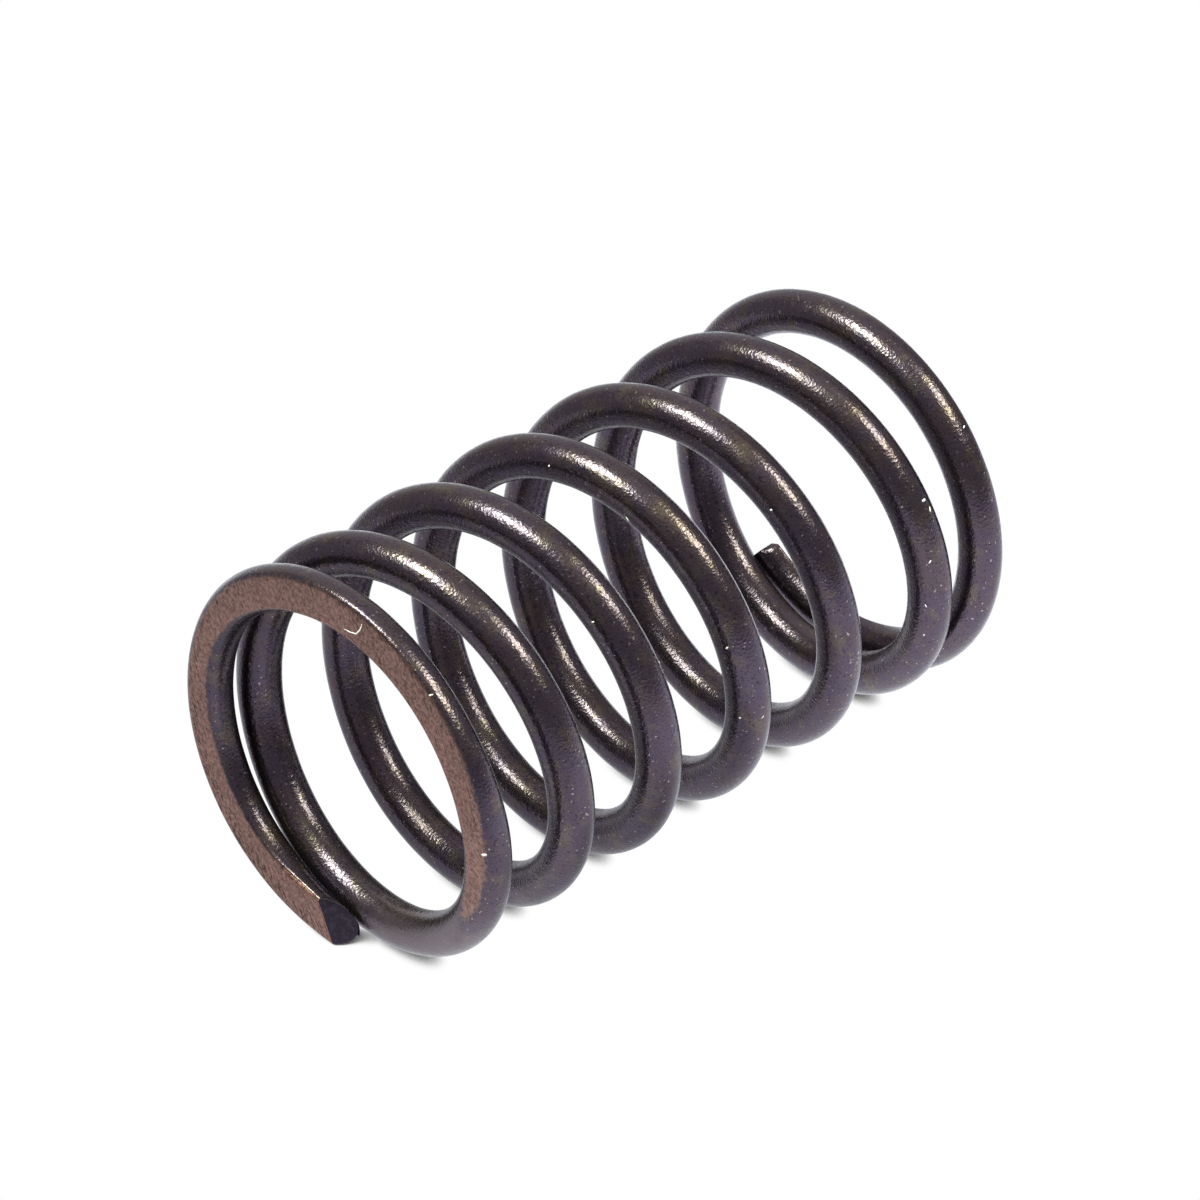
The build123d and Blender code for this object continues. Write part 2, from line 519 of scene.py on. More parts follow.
@dataclass(frozen=True)
class CoilPath:
    """The wire's centre line: closed end coils, and a pitch that widens away from the top."""

    wire_dia: float = 2.2
    mean_dia: float = 18.3
    free_length: float = 35.1
    turns: float = 7.1
    bottom_flat_turns: float = 0.4
    bottom_open_turns: float = 0.8
    top_flat_turns: float = 0.56
    top_open_turns: float = 0.18
    bottom_pitch_ratio: float = 1.05
    top_pitch_ratio: float = 0.84
    tip_bend_turns: float = 0.32
    bottom_tip_gap: float = 0.05
    top_tip_gap: float = 0.05
    bottom_tip_tuck: float = 0.4
    bottom_coil_flare: float = 0.2
    top_coil_flare: float = 0.6
    top_flare_turns: Span = (0.45, 0.15)
    top_tip_tuck: float = 0.36
    top_tuck_turns: float = 0.12
    top_coil_sag: float = 0.43
    top_sag_turns: Span = (0.55, 0.25)
    top_sag_end_turns: float = 0.1
    bottom_grind: float = 0.38
    top_grind: float = 0.6
    steps_per_turn: int = 480
    slope_step: float = 1e-3

    @property
    def radius(self) -> float:
        """Radius of the wire."""
        return self.wire_dia / 2.0

    def pitch_shape(self, turn: np.ndarray) -> np.ndarray:
        """Give the pitch at each turn, where the pitch at mid length is 1.

        Args:
            turn: Places in turns from the bottom tip.

        Returns:
            The pitch at each place.
        """
        opened = self.bottom_flat_turns + self.bottom_open_turns
        closing = self.turns - self.top_flat_turns - self.top_open_turns
        along = np.clip((turn - opened) / (closing - opened), 0.0, 1.0)
        working = (
            self.bottom_pitch_ratio * (1.0 - along) * (1.0 - 2.0 * along)
            + 4.0 * along * (1.0 - along)
            + self.top_pitch_ratio * along * (2.0 * along - 1.0)
        )
        rising = ease(turn, self.bottom_flat_turns, opened)
        falling = ease(turn, closing, self.turns - self.top_flat_turns)
        return working * rising * (1.0 - falling)

    def climb(self) -> tuple[np.ndarray, np.ndarray]:
        """Sum the pitch along the wire.

        Returns:
            Places in turns, and the rise from the bottom tip to each in millimetres.
        """
        turn = np.linspace(0.0, self.turns, round(self.turns * self.steps_per_turn) + 1)
        shape = self.pitch_shape(turn)
        parts = (shape[1:] + shape[:-1]) / 2.0 * np.diff(turn)
        rise = np.concatenate([[0.0], np.cumsum(parts)])
        low = self.radius - self.bottom_grind
        high = self.free_length - self.radius + self.top_grind
        return turn, rise * (high - low) / rise[-1]

    def top_flare(self, turn: np.ndarray) -> np.ndarray:
        """Give how far the top end coil stands out.

        Args:
            turn: Places in turns from the bottom tip.

        Returns:
            The extra radius at each place.
        """
        first, full = self.top_flare_turns
        flare = self.top_coil_flare * ease(turn, self.turns - first, self.turns - full)
        return flare - self.top_tip_tuck * ease(turn, self.turns - self.top_tuck_turns, self.turns)

    def top_sag(self, turn: np.ndarray) -> np.ndarray:
        """Give how far the top end coil sags below its ground face.

        Args:
            turn: Places in turns from the bottom tip.

        Returns:
            The drop at each place.
        """
        first, full = self.top_sag_turns
        sag = self.top_coil_sag * ease(turn, self.turns - first, self.turns - full)
        return sag * (1.0 - ease(turn, self.turns - self.top_sag_end_turns, self.turns))

    def centre(self, turn: np.ndarray) -> np.ndarray:
        """Give points on the centre line.

        Args:
            turn: Places in turns from the bottom tip.

        Returns:
            One row of X, Y and Z for each place.
        """
        places, rise = self.climb()
        lift = np.interp(1.0, places, rise) - self.wire_dia - self.bottom_tip_gap
        last_turn = rise[-1] - np.interp(self.turns - 1.0, places, rise)
        drop = last_turn - self.wire_dia - self.top_tip_gap
        tip = 1.0 - ease(turn, 0.0, self.tip_bend_turns)
        top_tip = ease(turn, self.turns - self.tip_bend_turns, self.turns)
        level = np.interp(turn, places, rise) + self.radius - self.bottom_grind
        level = level + lift * tip - drop * top_tip - self.top_sag(turn)
        flare = np.maximum(1.0 - 2.0 * turn / self.turns, 0.0) ** 2
        out = self.mean_dia / 2.0 + self.bottom_coil_flare * flare - self.bottom_tip_tuck * tip
        out = out + self.top_flare(turn)
        angle = math.tau * (turn - self.turns)
        return np.stack([out * np.cos(angle), out * np.sin(angle), level], -1)

    def frame(self, turn: np.ndarray) -> tuple[np.ndarray, np.ndarray, np.ndarray]:
        """Give the centre, the outward direction and the upward direction of sections.

        Args:
            turn: Places in turns from the bottom tip.

        Returns:
            Centres, outward directions and upward directions, a row for each place.
        """
        tangent = unit(self.centre(turn + self.slope_step) - self.centre(turn - self.slope_step))
        angle = math.tau * (turn - self.turns)
        radial = np.stack([np.cos(angle), np.sin(angle), 0.0 * angle], -1)
        out = unit(radial - np.sum(radial * tangent, -1, keepdims=True) * tangent)
        return self.centre(turn), out, np.cross(out, tangent)


@dataclass(frozen=True)
class GroundWire:
    """The wire as rings of corners that follow the edges of the ground faces."""

    path: CoilPath = CoilPath()
    rings_per_turn: int = 210
    side_columns: int = 15
    outer_bevel: float = 0.2
    inner_bevel: float = 0.13
    most_bevel: float = 0.3
    bevel_shares: tuple[float, ...] = (0.25, 0.5, 0.75, 1.0)
    # Past the end of a face, its corners keep the least half angle and then spread to the idle one.
    idle_half_angle: float = 25.0
    least_half_angle: float = 6.0
    settle_turns: float = 0.12
    # The top tip is cut slanting. Past it, rings at these distances turn down into a nose.
    tip_cut_angle: float = 25.0
    tip_cut_turns: float = 0.1
    # The nose, in the dark cut-end finish, also fills a dark zone past the tip that is partly painted
    # shade.
    tip_nose: tuple[float, ...] = (0.06, 0.16, 0.28, 0.42, 0.56, 0.7, 0.82, 0.92, 1.0, 1.06, 1.1)
    nose_drop: float = 1.2
    nose_shrink: float = 0.12
    nose_power: int = 5
    # The bottom tip's inner corner is rounded.
    corner_round: float = 0.45
    # Steel shows fully as ground where this depth is taken off it, and is flat above this share.
    fade_in: float = 0.12
    all_ground: float = 0.99
    # The top face starts this much lower, and rises to its full height between these turns.
    fade_depth: float = 0.34
    fade_turns: Span = (6.26, 6.42)
    # The wire is a little uneven along its length.
    dent_depth: float = 0.007
    dent_per_mm: float = 0.8
    chord_shares: tuple[float, ...] = (0.0, 0.5, 0.9, 1.0)
    cap_shares: tuple[float, ...] = (0.9, 0.66, 0.36)
    # The cut ends stand out a little in the middle and are torn.
    bottom_crown: float = 0.05
    top_crown: float = 0.14
    bottom_seed: float = 3.0
    top_seed: float = 7.0
    torn_depth: float = 0.04
    torn_per_mm: float = 2.2

    def half_group(self, half: np.ndarray, level: np.ndarray, bevel: float) -> Layout:
        """Place the corners from the middle of one ground face to just past its edge.

        Args:
            half: Half angle of the group at each ring, in radians.
            level: Height of the ground face above the wire's centre at each ring.
            bevel: Width of the worn edge on each side of the corner.

        Returns:
            Sideways places, heights, and how much each corner is ground, by ring and corner.
        """
        radius = self.path.radius
        half_chord = radius * np.sin(half)
        bevel = np.minimum(bevel, self.most_bevel * half_chord)
        across = np.array(self.chord_shares) * (half_chord - bevel)[:, None]
        arc = np.sqrt(radius**2 - across**2)
        height = np.minimum(arc, level[:, None])
        ground = np.clip((arc - height) / self.fade_in, 0.0, 1.0)
        past = half + bevel / radius
        share = np.array(self.bevel_shares)
        # The edge is a curve from the face, bent towards the sharp corner, to the wire's side.
        weights = ((1.0 - share) ** 2, 2.0 * share * (1.0 - share), share**2)
        spots = (
            (across[:, -1], height[:, -1]),
            (half_chord, np.minimum(level, radius * np.cos(half))),
            (radius * np.sin(past), radius * np.cos(past)),
        )
        bend_across = sum(spot[0][:, None] * weight for spot, weight in zip(spots, weights))
        bend_height = sum(spot[1][:, None] * weight for spot, weight in zip(spots, weights))
        bend_ground = ground[:, -1:] * (1.0 - share)
        return (
            np.concatenate([across, bend_across], 1),
            np.concatenate([height, bend_height], 1),
            np.concatenate([ground, bend_ground], 1),
        )

    def half_angles(self, level: np.ndarray, turn: np.ndarray, top: bool) -> np.ndarray:
        """Give the half angle of a ground face at each ring.

        Args:
            level: Height of the ground face above the wire's centre at each ring.
            turn: Place of each ring.
            top: True for the top face and False for the bottom one.

        Returns:
            The half angles in radians, never less than the idle width away from the face.
        """
        cut = np.arccos(np.clip(level / self.path.radius, -1.0, 1.0))
        touched = turn[cut > 0.0]
        edge = touched.min() if top else touched.max()
        away = edge - turn if top else turn - edge
        spread = self.idle_half_angle - self.least_half_angle
        least = np.radians(self.least_half_angle + spread * ease(away, 0.0, self.settle_turns))
        return np.maximum(cut, least)

    def ring_turns(self) -> tuple[np.ndarray, np.ndarray]:
        """Give the place of each ring, and how far down the nose of the top tip it is.

        Returns:
            Places in turns, and shares of the nose from 0 to 1.
        """
        count = round(self.path.turns * self.rings_per_turn)
        turn = np.linspace(0.0, self.path.turns, count + 1)
        nose = np.array(self.tip_nose)
        beyond = self.path.turns + nose / (math.pi * self.path.mean_dia)
        share = np.concatenate([np.zeros(count + 1), nose / nose[-1]])
        return np.concatenate([turn, beyond]), share

    def half_section(self, turn: np.ndarray, nose: np.ndarray, bevel: float) -> Layout:
        """Lay out the corners down one side of each ring, from the top's middle to the bottom's.

        Args:
            turn: Place of each ring.
            nose: How far down the nose each ring is.
            bevel: Width of the worn edges on this side.

        Returns:
            Sideways places, upward places and ground shares, by ring and corner.
        """
        centre, _, up = self.path.frame(turn)
        above = (self.top_level(turn, nose) - centre[:, 2]) / up[:, 2]
        below = centre[:, 2] / up[:, 2]
        top_x, top_z, top_g = self.half_group(self.half_angles(above, turn, True), above, bevel)
        low_x, low_z, low_g = self.half_group(self.half_angles(below, turn, False), below, bevel)
        start = np.arctan2(top_x[:, -1], top_z[:, -1])
        end = math.pi - np.arctan2(low_x[:, -1], low_z[:, -1])
        shares = np.arange(1, self.side_columns + 1) / (self.side_columns + 1)
        side = start[:, None] + (end - start)[:, None] * shares
        radius = self.path.radius
        across = np.concatenate([top_x, radius * np.sin(side), low_x[:, ::-1]], 1)
        rise = np.concatenate([top_z, radius * np.cos(side), -low_z[:, ::-1]], 1)
        return across, rise, np.concatenate([top_g, 0.0 * side, low_g[:, ::-1]], 1)

    def sections(self, turn: np.ndarray, nose: np.ndarray) -> Layout:
        """Lay out the corners of each ring in its own section.

        Args:
            turn: Place of each ring.
            nose: How far down the nose each ring is.

        Returns:
            Outward places, upward places and ground shares, by ring and corner.
        """
        outer = self.half_section(turn, nose, self.outer_bevel)
        inner = self.half_section(turn, nose, self.inner_bevel)
        back = slice(-2, 0, -1)
        signs = (-1.0, 1.0, 1.0)
        return tuple(np.concatenate([a, sign * b[:, back]], 1) for a, b, sign in zip(outer, inner, signs))

    def top_level(self, turn: np.ndarray, nose: np.ndarray) -> np.ndarray:
        """Give the height at which the wire is cut, which falls at both ends of the top face.

        Args:
            turn: Place of each ring.
            nose: How far down the nose each ring is.

        Returns:
            The height at each ring.
        """
        faded = self.fade_depth * (1.0 - ease(turn, *self.fade_turns))
        return self.path.free_length - faded - self.nose_drop * nose

    def slanted(self, turn: np.ndarray, out: np.ndarray) -> np.ndarray:
        """Move the corners near the top tip along the wire, so that the last ring slants.

        Args:
            turn: Place of each ring.
            out: Outward place of each corner in its section.

        Returns:
            Place of each corner in turns.
        """
        share = ease(turn, self.path.turns - self.tip_cut_turns, self.path.turns)[:, None]
        radius = self.path.mean_dia / 2.0
        back = (self.path.radius - out) * math.tan(math.radians(self.tip_cut_angle))
        return turn[:, None] - share * back / (radius + out) / math.tau

    def tip_round(self, turn: np.ndarray, out: np.ndarray) -> np.ndarray:
        """Draw in the inner corner of the bottom tip, so that its end is rounded.

        Args:
            turn: Place of each ring.
            out: Outward place of each corner in its section.

        Returns:
            How far each corner moves outward.
        """
        from_tip = np.clip(turn * math.pi * self.path.mean_dia / self.corner_round, 0.0, 1.0)
        depth = self.corner_round * (1.0 - np.sqrt(1.0 - (1.0 - from_tip) ** 2))
        inner = np.clip(-out / self.path.radius, 0.0, 1.0)
        return depth[:, None] * inner

    def dented(self, points: np.ndarray, middle: np.ndarray) -> np.ndarray:
        """Press shallow dents into the wire.

        Args:
            points: Corners of the wire.
            middle: Centre of the section of each corner.

        Returns:
            The moved corners.
        """
        waves = [noise.noise(Vector(p) * self.dent_per_mm) for p in points.reshape(-1, 3).tolist()]
        depth = self.dent_depth * (np.array(waves).reshape(points.shape[:-1]) - 0.5)
        return points + unit(points - middle) * depth[..., None]

    def corners(self) -> tuple[np.ndarray, np.ndarray, np.ndarray]:
        """Work out every corner of the tube.

        Returns:
            Corner places by ring and column, ground shares, and each ring's share of the nose.
        """
        turn, nose = self.ring_turns()
        out, rise, ground = self.sections(turn, nose)
        shrink = (1.0 - self.nose_shrink * nose**self.nose_power)[:, None]
        out = out * shrink + self.tip_round(turn, out)
        rise = rise * shrink
        place = self.slanted(turn, out)
        shape = place.shape
        middle, outward, upward = self.path.frame(place.ravel())
        points = middle + out.ravel()[:, None] * outward + rise.ravel()[:, None] * upward
        points = self.dented(points.reshape(*shape, 3), middle.reshape(*shape, 3))
        flat = (ground > self.all_ground) & (nose == 0.0)[:, None]
        high = points[..., 2] > self.path.free_length / 2.0
        level = np.broadcast_to(self.top_level(turn, nose)[:, None], shape)
        points[..., 2] = np.where(flat & high, level, points[..., 2])
        points[..., 2] = np.where(flat & ~high, 0.0, points[..., 2])
        points[..., 2] = np.clip(points[..., 2], 0.0, self.path.free_length)
        return points, ground * (nose == 0.0)[:, None], nose

    def cap(self, ring: np.ndarray, outward: np.ndarray, seed: float, crown: float) -> np.ndarray:
        """Make the rings and the middle point that close one end of the wire.

        Args:
            ring: Corners of the wire's last ring.
            outward: Direction out of the end.
            seed: Offset of the roughness pattern.
            crown: How far the middle stands out.

        Returns:
            The new corners, ring by ring, with the middle point last.
        """
        middle = ring.mean(0)
        offset = Vector((seed, 0.0, 0.0))
        shares = (*self.cap_shares, 0.0)
        made = []
        for share in shares:
            row = middle + share * (ring - middle)
            if share == 0.0:
                row = row[:1]
            torn = [noise.noise(Vector(p) * self.torn_per_mm + offset) for p in row.tolist()]
            lift = crown * (1.0 - share**2) + self.torn_depth * np.array(torn) * (1.0 - share**4)
            made.append(row + lift[:, None] * outward)
        return np.concatenate(made)


class MeshParts:
    """Corners and faces of the spring, gathered before its mesh is made."""

    def __init__(self) -> None:
        """Start empty."""
        self.corners: list[np.ndarray] = []
        self.ground: list[np.ndarray] = []
        self.faces: list[tuple[int, ...]] = []
        self.finish: list[int] = []
        self.count = 0

    def add(self, corners: np.ndarray, ground: np.ndarray | None = None) -> int:
        """Add corners.

        Args:
            corners: Rows of X, Y and Z in millimetres.
            ground: How much each is ground.

        Returns:
            The number of the first new corner.
        """
        first = self.count
        self.corners.append(corners)
        self.ground.append(np.zeros(len(corners)) if ground is None else ground)
        self.count += len(corners)
        return first

    def skin(self, faces: list[tuple[int, ...]], finish: list[int]) -> None:
        """Add faces with their finishes."""
        self.faces.extend(faces)
        self.finish.extend(finish)


@dataclass(frozen=True)
class PhotoCamera:
    """The camera of the photograph, fitted to the wire's outlines, in the upright spring's frame."""

    azimuth: float = 137.47159
    elevation: float = 35.59013
    roll: float = 119.75406
    distance: float = 298.4044
    target: Spot = (-0.7706, -0.4967, 17.2257)
    focal_length: float = 185.98047
    sensor: float = 36.0
    picture: int = 1200
    clip: Span = (0.01, 20.0)

    def axes(self) -> tuple[Vector, Vector, Vector]:
        """Work out the camera's directions.

        Returns:
            Its right, up and back directions.
        """
        az = math.radians(self.azimuth)
        el = math.radians(self.elevation)
        roll = math.radians(self.roll)
        back = Vector((math.cos(az) * math.cos(el), math.sin(az) * math.cos(el), math.sin(el)))
        level = Vector((0.0, 0.0, 1.0)).cross(back).normalized()
        upright = back.cross(level)
        up = upright * math.cos(roll) + level * math.sin(roll)
        return up.cross(back), up, back

    def place(self) -> Vector:
        """Give the camera's place in millimetres."""
        return Vector(self.target) + self.axes()[2] * self.distance

    def ray(self, across: float, down: float) -> Vector:
        """Give the direction of the line of sight through a point of the photograph.

        Args:
            across: Distance from the photograph's left edge in its pixels.
            down: Distance from its top edge.

        Returns:
            The direction of the line.
        """
        right, up, back = self.axes()
        span = self.focal_length / self.sensor * self.picture
        half = self.picture / 2.0
        return (right * (across - half) - up * (down - half) - back * span).normalized()

    def build(self) -> None:
        """Add the camera to the scene."""
        right, up, back = self.axes()
        data = bpy.data.cameras.new("photo_camera")
        data.lens = self.focal_length
        data.sensor_width = self.sensor
        data.clip_start, data.clip_end = self.clip
        turned = Matrix((right, up, back)).transposed().to_4x4()
        camera = set_in_scene("photo_camera", data)
        camera.matrix_world = Matrix.Translation(self.place() * MM) @ turned
        bpy.context.scene.camera = camera


@dataclass(frozen=True)
class Fleck:
    """A speck of dust, at a point across and down the photograph in its pixels."""

    across: float
    down: float
    length: float
    width: float = 0.1
    lean: float = 0.0


@dataclass(frozen=True)
class Dust:
    """Specks of dust on the wire."""

    flecks: tuple[Fleck, ...] = (
        Fleck(across=924, down=500, length=0.31, width=0.2, lean=0.4),
        Fleck(across=930, down=509, length=0.38, width=0.16, lean=1.6),
        Fleck(across=930, down=562, length=0.28, width=0.11, lean=1.2),
        Fleck(across=926, down=606, length=0.25, width=0.1, lean=1.8),
        Fleck(across=924, down=635, length=0.2, width=0.1, lean=1.5),
        Fleck(across=964, down=427, length=0.25, width=0.1, lean=0.9),
        Fleck(across=431, down=695, length=0.22, width=0.11, lean=0.3),
        Fleck(across=484, down=855, length=0.33, width=0.2, lean=0.5),
        Fleck(across=771, down=510, length=0.18, width=0.12, lean=0.2),
        Fleck(across=727, down=648, length=0.25, width=0.12, lean=0.8),
        Fleck(across=763, down=717, length=0.22, width=0.11, lean=1.1),
        Fleck(across=740, down=718, length=0.18, width=0.11, lean=0.6),
        Fleck(across=549, down=466, length=0.2, width=0.12, lean=0.7),
        Fleck(across=628, down=520, length=0.45, width=0.14, lean=1.4),
        Fleck(across=659, down=662, length=0.2, width=0.11, lean=0.9),
        Fleck(across=593, down=622, length=0.18, width=0.1, lean=0.4),
        Fleck(across=719, down=737, length=0.2, width=0.1, lean=0.3),
    )
    rim_corners: int = 10
    rim_waves: float = 0.25
    thickness: float = 0.035
    sunk: float = 0.01

    def lay(self, fleck: Fleck, hit: Vector, normal: Vector, lean: Vector, parts: MeshParts) -> None:
        """Lay one fleck on the wire, as a low closed double cone.

        Args:
            fleck: The fleck.
            hit: Point of the wire under it.
            normal: The wire's normal there.
            lean: Direction of the fleck's length.
            parts: Where the fleck goes.
        """
        long_way = (lean - normal * lean.dot(normal)).normalized()
        short_way = normal.cross(long_way)
        base = hit - normal * self.sunk
        points = []
        for index in range(self.rim_corners):
            angle = math.tau * index / self.rim_corners
            swell = 1.0 + self.rim_waves * noise.noise(Vector((fleck.across, fleck.down, angle)))
            way = long_way * math.cos(angle) * fleck.length + short_way * math.sin(angle) * fleck.width
            points.append(base + way * swell / 2.0)
        points += [base + normal * self.thickness, base - normal * self.thickness]
        first = parts.add(np.array([tuple(p) for p in points]))
        above = first + self.rim_corners
        faces = []
        for index in range(self.rim_corners):
            this = first + index
            after = first + (index + 1) % self.rim_corners
            faces.append((this, after, above))
            faces.append((after, this, above + 1))
        parts.skin(faces, [Finish.LINT.value] * len(faces))

    def build(self, camera: PhotoCamera, tree: BVHTree, parts: MeshParts) -> int:
        """Set each fleck on the wire behind its point of the photograph.

        Args:
            camera: Camera that the flecks are placed through.
            tree: The wire's faces in millimetres.
            parts: Where the flecks go.

        Returns:
            How many flecks found the wire.
        """
        laid = 0
        right, up, _ = camera.axes()
        for fleck in self.flecks:
            hit, normal, _, _ = tree.ray_cast(camera.place(), camera.ray(fleck.across, fleck.down))
            if hit is None:
                LOG.warning("no wire behind the fleck at %s, %s", fleck.across, fleck.down)
                continue
            lean = right * math.cos(fleck.lean) + up * math.sin(fleck.lean)
            self.lay(fleck, hit, normal, lean, parts)
            laid += 1
        return laid


@dataclass(frozen=True)
class Scratch:
    """A pale hair that stands up along a scratch in the top face."""

    # Points across and down the photograph, in its pixels.
    line: tuple[Span, ...] = ((344, 629), (350, 632), (356, 634), (360, 630), (362, 624))
    width: float = 0.065
    height: float = 0.02
    end_taper: float = 0.35
    sides: int = 6

    def build(self, camera: PhotoCamera, tree: BVHTree, parts: MeshParts) -> None:
        """Lay the hair along its line on the top face.

        Args:
            camera: Camera that the line is placed through.
            tree: The wire's faces in millimetres.
            parts: Where the hair goes.
        """
        spots = [tree.ray_cast(camera.place(), camera.ray(*spot))[0] for spot in self.line]
        ring_starts = []
        for index, spot in enumerate(spots):
            ahead = spots[min(index + 1, len(spots) - 1)] - spots[max(index - 1, 0)]
            side = Vector((0.0, 0.0, 1.0)).cross(ahead).normalized()
            taper = self.end_taper if index in (0, len(spots) - 1) else 1.0
            ring = []
            for number in range(self.sides):
                angle = math.tau * number / self.sides
                out = side * math.cos(angle) * self.width / 2.0 * taper
                ring.append(spot + out + Vector((0.0, 0.0, math.sin(angle) * self.height * taper)))
            ring_starts.append(parts.add(np.array([tuple(p) for p in ring])))
        faces: list[tuple[int, ...]] = [tuple(ring_starts[0] + n for n in range(self.sides))]
        for low, high in zip(ring_starts, ring_starts[1:]):
            for n in range(self.sides):
                m = (n + 1) % self.sides
                faces.append((low + m, low + n, high + n, high + m))
        faces.append(tuple(ring_starts[-1] + n for n in reversed(range(self.sides))))
        parts.skin(faces, [Finish.LINT.value] * len(faces))


@dataclass(frozen=True)
class ValveSpring:
    """The spring that is seen: wire, cut ends, dust and scratch in one object."""

    wire: GroundWire = GroundWire()
    dust: Dust = Dust()
    scratch: Scratch = Scratch()
    name: str = "valve_spring_looks"
    edge: WornEdge = WornEdge()
    least_ground: float = 0.5
    flat_layer: str = "OFBake"
    strip_gap: float = 0.006
    patch_scale: float = 0.022
    # Where each end's patch lies across the layer, and the X and Z of its middle on the spring.
    top_patch: Spot = (0.3, 9.15, 34.0)
    bottom_patch: Spot = (0.6, 7.2, 0.4)

    def lay_wire(self, parts: MeshParts) -> tuple[int, int]:
        """Add the wire and its two ends.

        Args:
            parts: Where the wire goes.

        Returns:
            The numbers of rings and columns.
        """
        points, ground, nose = self.wire.corners()
        rings, columns = ground.shape
        parts.add(points.reshape(-1, 3), ground.ravel())
        ring = np.arange(rings - 1)[:, None]
        column = np.arange(columns)[None, :]
        after = (column + 1) % columns
        low = ring * columns
        high = low + columns
        quads = np.stack([low + column, low + after, high + after, high + column], -1).reshape(-1, 4)
        share = ground.ravel()[quads].min(1)
        finish = np.where(share > self.least_ground, Finish.GROUND.value, Finish.OXIDE.value)
        finish = np.where(np.repeat(nose[1:], columns) > 0.0, Finish.SHEARED.value, finish)
        parts.skin([tuple(q) for q in quads.tolist()], finish.tolist())
        self.close_end(parts, points[0], 0, False)
        self.close_end(parts, points[-1], (rings - 1) * columns, True)
        return rings, columns

    def close_end(self, parts: MeshParts, ring: np.ndarray, start: int, last: bool) -> None:
        """Close one end of the wire with a torn face.

        Args:
            parts: Where the faces go.
            ring: The wire's ring at that end.
            start: Number of the ring's first corner.
            last: True at the top tip.
        """
        columns = len(ring)
        quarter = columns // 4
        across = np.cross(ring[quarter] - ring[3 * quarter], ring[0] - ring[2 * quarter])
        outward = unit(across) * (1.0 if last else -1.0)
        crown = self.wire.top_crown if last else self.wire.bottom_crown
        seed = self.wire.top_seed if last else self.wire.bottom_seed
        made = self.wire.cap(ring, outward, seed, crown)
        first = parts.add(made)
        rows = [start] + [first + columns * index for index in range(len(self.wire.cap_shares))]
        faces: list[tuple[int, ...]] = []
        for outer, inner in zip(rows, rows[1:]):
            for n in range(columns):
                m = (n + 1) % columns
                faces.append((outer + n, outer + m, inner + m, inner + n))
        middle = first + columns * len(self.wire.cap_shares)
        faces.extend((rows[-1] + n, rows[-1] + (n + 1) % columns, middle) for n in range(columns))
        if not last:
            faces = [face[::-1] for face in faces]
        parts.skin(faces, [Finish.SHEARED.value] * len(faces))

    def mark_rim(self, mesh: bpy.types.Mesh, columns: int) -> None:
        """Make the rim of the bottom tip's cut end crisp.

        Args:
            mesh: The spring's mesh.
            columns: Number of columns.
        """
        ends = read_out(mesh.edges, "vertices", 2)
        mesh.edges.foreach_set("use_edge_sharp", (ends < columns).all(1))

    def lay_flat(self, mesh: bpy.types.Mesh, rings: int, columns: int) -> None:
        """Unroll the wire into one strip for each turn, with a patch for each end on the last strip.

        Args:
            mesh: The spring's mesh.
            rings: Number of rings.
            columns: Number of columns.
        """
        loops = read_out(mesh.loops, "vertex_index")
        totals = read_out(mesh.polygons, "loop_total")
        face = np.repeat(np.arange(len(totals)), totals)
        column = loops % columns
        wraps = (face % columns == columns - 1) & (column == 0)
        around = (column + columns * wraps) / columns
        per_turn = self.wire.rings_per_turn
        strip = face // columns // per_turn
        height = 1.0 / math.ceil((rings - 1) / per_turn)
        inside = 1.0 - 2.0 * self.strip_gap
        u = self.strip_gap + inside * (loops // columns - strip * per_turn) / per_turn
        v = (strip + self.strip_gap + inside * around) * height
        spots = read_out(mesh.vertices, "co", 3, float)[loops] / MM
        top = spots[:, 2] > self.wire.path.free_length / 2.0
        patches = zip(self.top_patch, self.bottom_patch)
        across, middle_x, middle_z = (np.where(top, *pair) for pair in patches)
        patch_u = across + self.patch_scale * (spots[:, 0] - middle_x)
        patch_v = 1.0 - height / 2.0 + self.patch_scale * (spots[:, 2] - middle_z)
        ends = face >= (rings - 1) * columns
        u = np.where(ends, np.clip(patch_u, 0.0, 1.0), u)
        v = np.where(ends, np.clip(patch_v, 0.0, 1.0), v)
        layer = mesh.uv_layers.new(name=self.flat_layer)
        layer.uv.foreach_set("vector", np.stack([u, v], 1).astype(np.float32).ravel())

    def build(self, camera: PhotoCamera) -> None:
        """Make the spring, in place of the CAD node.

        Args:
            camera: Camera that the dust is placed through.
        """
        parts = MeshParts()
        rings, columns = self.lay_wire(parts)
        surface = np.concatenate(parts.corners)
        tree = BVHTree.FromPolygons(surface.tolist(), parts.faces)
        laid = self.dust.build(camera, tree, parts)
        self.scratch.build(camera, tree, parts)
        mesh = bpy.data.meshes.new(self.name)
        mesh.from_pydata((np.concatenate(parts.corners) * MM).tolist(), [], parts.faces)
        mesh.polygons.foreach_set("material_index", parts.finish)
        mesh.polygons.foreach_set("use_smooth", [True] * len(parts.faces))
        ground = np.concatenate(parts.ground)
        share = mesh.attributes.new(self.edge.tag, "FLOAT", "POINT")
        share.data.foreach_set("value", ground.astype(np.float32))
        self.mark_rim(mesh, columns)
        self.lay_flat(mesh, rings, columns)
        for finish in (OxideSkin(), GroundSteel(), ShearedSteel(), Lint()):
            mesh.materials.append(finish.material())
        mesh.update()
        spring = set_in_scene(self.name, mesh)
        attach(spring, "root")
        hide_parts("valve_spring")
        LOG.info("%s: %d faces, %d flecks", self.name, len(parts.faces), laid)


